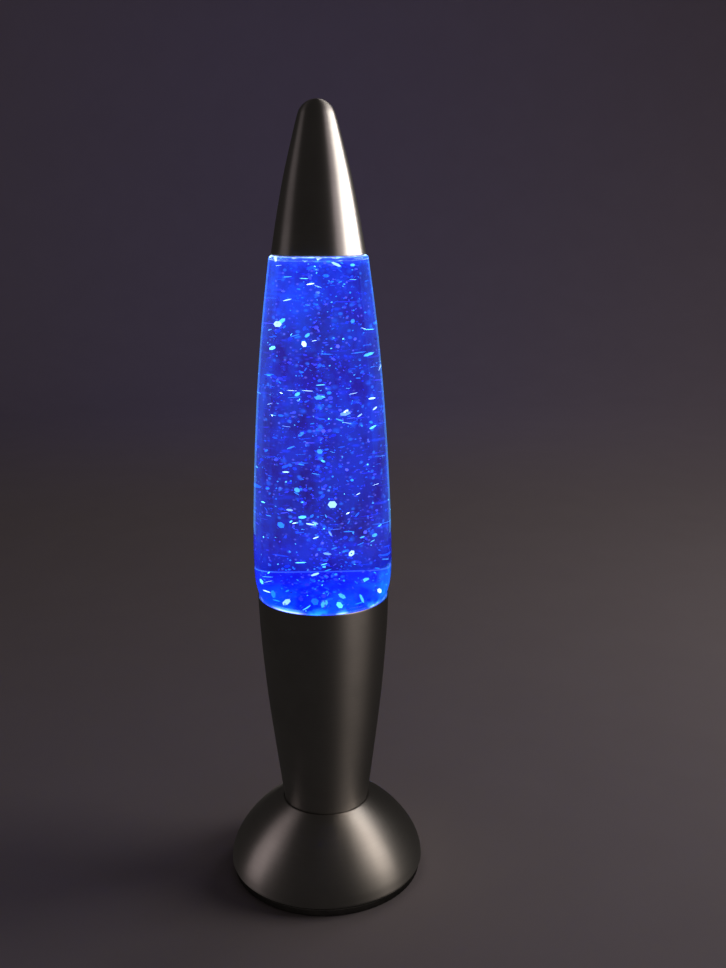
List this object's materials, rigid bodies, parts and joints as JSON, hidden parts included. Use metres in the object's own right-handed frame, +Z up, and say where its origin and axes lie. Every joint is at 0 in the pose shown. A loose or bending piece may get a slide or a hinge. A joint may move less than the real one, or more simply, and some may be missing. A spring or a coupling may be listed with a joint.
{
  "type": "glitter lamp",
  "caption": "Rocket-shaped glitter lamp: satin metal foot, cup and pointed cap round a sealed bottle of blue liquid, with a reflector bulb inside.",
  "frame": {"origin": "centre of the foot's underside, on the surface that the lamp stands on", "axes": "+Z up along the lamp's axis; the cord gland is at the back, towards +Y; +X to the right seen from the front"},
  "size_m": [0.1098, 0.1135, 0.4263],
  "materials": {
    "satin_metal": "spun and satin lacquered, soft broad highlights",
    "black_rubber": "matt moulded",
    "black_plastic": "matt moulded thermoset",
    "zinc_steel": "zinc plated",
    "nickel": "bright nickel plate",
    "brass": "plain, slightly dulled",
    "ceramic": "unglazed",
    "bulb_glass": "clear front, silvered inside the reflector",
    "tungsten": "glowing coiled wire",
    "solder": "dull solder",
    "bottle_glass": "clear, polished",
    "blue_liquid": "clear dyed liquid, lit from below",
    "glitter": "mirror-bright flakes",
    "crown_enamel": "lacquered tinplate",
    "liner": "soft sealing compound"
  },
  "bodies": {
    "base": {"foot_shell": "satin_metal", "foot_ring": "black_rubber", "base_plate": "black_plastic", "base_screw_1": "zinc_steel", "base_screw_2": "zinc_steel", "base_screw_3": "zinc_steel", "base_screw_4": "zinc_steel", "cord_gland": "black_rubber", "cup_shell": "satin_metal", "nipple": "zinc_steel", "nipple_washer_lower": "zinc_steel", "nipple_nut": "zinc_steel", "nipple_washer_upper": "zinc_steel", "holder_dome": "black_plastic", "holder_body": "black_plastic", "holder_sleeve": "brass", "holder_terminal_block": "ceramic", "holder_terminal_screw_1": "brass", "holder_terminal_screw_2": "brass", "holder_contact": "brass"},
    "bulb_tip": {"bulb_solder_tip": "solder"},
    "bulb": {"bulb_insulator": "black_plastic", "bulb_screw_shell": "nickel", "bulb_glass": "bulb_glass", "bulb_stem": "bulb_glass", "bulb_lead_1": "nickel", "bulb_lead_2": "nickel", "bulb_filament": "tungsten"},
    "bottle": {"bottle_glass": "bottle_glass", "bottle_liquid": "blue_liquid", "crown_liner": "liner", "crown_closure": "crown_enamel"},
    "cap": {"top_cap": "satin_metal"}
  },
  "joints": [
    {"name": "bottle_lift", "type": "slide", "parent": "base", "child": "bottle", "axis": [0, 0, 1], "range_m": [0, 0.06]},
    {"name": "cap_lift", "type": "slide", "parent": "bottle", "child": "cap", "axis": [0, 0, 1], "range_m": [0, 0.06]},
    {"name": "bulb_rise", "type": "slide", "parent": "base", "child": "bulb_tip", "axis": [0, 0, 1], "range_m": [0, 0.0127]},
    {"name": "bulb_unscrew", "type": "hinge", "parent": "bulb_tip", "child": "bulb", "pos_m": [0, 0, 0.0582], "axis": [0, 0, 1], "range_deg": [0, 1620]}
  ],
  "couplings": [
    {"joint": "bulb_rise", "follows": "bulb_unscrew", "m_per_rad": 0.00044882}
  ]
}
